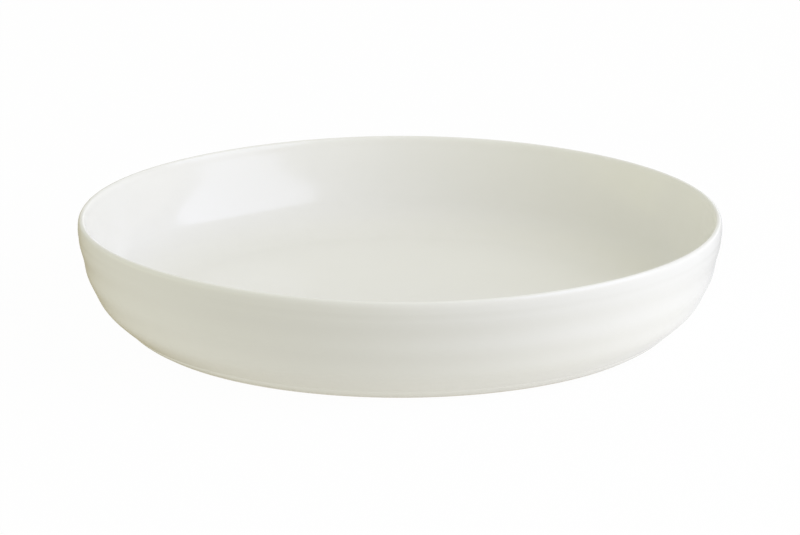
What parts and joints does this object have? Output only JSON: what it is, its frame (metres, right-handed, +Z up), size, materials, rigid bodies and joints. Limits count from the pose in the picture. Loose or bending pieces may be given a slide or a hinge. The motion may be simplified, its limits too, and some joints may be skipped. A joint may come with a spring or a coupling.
{
  "type": "deep plate",
  "caption": "Round deep plate in white glazed porcelain: steep wall with soft throwing bands, rounded lip, flat floor and a low foot ring with a bare standing band.",
  "frame": {"origin": "on the table, on the plate's upright axis, level with the bare standing band", "axes": "+Z up along the plate's axis; +X and +Y level, the plate is the same all round"},
  "size_m": [0.22, 0.22, 0.0376],
  "materials": {
    "bare_porcelain": "fired and unglazed, fine matt grain",
    "white_glaze": "clear gloss glaze over white porcelain",
    "white_base_glaze": "gloss glaze, a little thinner looking inside the foot"
  },
  "bodies": {
    "root": {"porcelain_body": "bare_porcelain", "dish_glaze": "white_glaze", "base_glaze": "white_base_glaze"}
  },
  "joints": []
}
